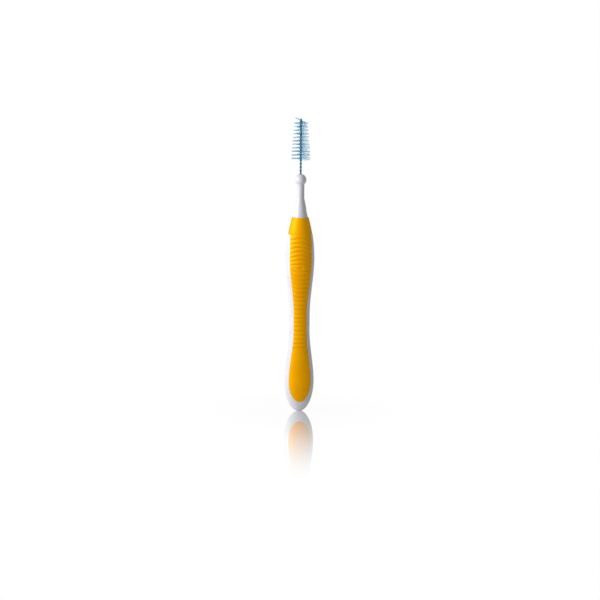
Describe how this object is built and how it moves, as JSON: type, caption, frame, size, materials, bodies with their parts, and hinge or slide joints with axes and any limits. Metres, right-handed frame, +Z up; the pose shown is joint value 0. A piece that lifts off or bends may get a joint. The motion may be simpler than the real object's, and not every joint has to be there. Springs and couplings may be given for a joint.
{
  "type": "interdental brush",
  "caption": "Slim interdental brush: white handle with a ribbed yellow soft grip, round neck with a ball tip, and a tapered head of nylon filaments held in a twisted wire.",
  "frame": {"origin": "bottom of the foot, on the brush axis", "axes": "+Z up the brush axis to the wire tip, +X to the right seen from the front, -Y out of the front panel"},
  "size_m": [0.0094, 0.0072, 0.0933],
  "materials": {
    "white_plastic": "satin moulded polypropylene",
    "yellow_elastomer": "soft satin thermoplastic elastomer",
    "coated_wire": "blue coating on steel wire",
    "nylon_filament": "clear pale blue nylon"
  },
  "bodies": {
    "handle": {"handle_core": "white_plastic", "soft_grip": "yellow_elastomer"},
    "brush_head": {"twisted_wire": "coated_wire", "bristle_row_01": "nylon_filament", "bristle_row_02": "nylon_filament", "bristle_row_03": "nylon_filament", "bristle_row_04": "nylon_filament", "bristle_row_05": "nylon_filament", "bristle_row_06": "nylon_filament", "bristle_row_07": "nylon_filament", "bristle_row_08": "nylon_filament", "bristle_row_09": "nylon_filament", "bristle_row_10": "nylon_filament", "bristle_row_11": "nylon_filament", "bristle_row_12": "nylon_filament"}
  },
  "joints": [
    {"name": "wire_bend", "type": "hinge", "parent": "handle", "child": "brush_head", "pos_m": [0, 0, 0.0767], "axis": [0, 1, 0], "range_deg": [-80, 80], "deforming": ["twisted_wire"]}
  ]
}
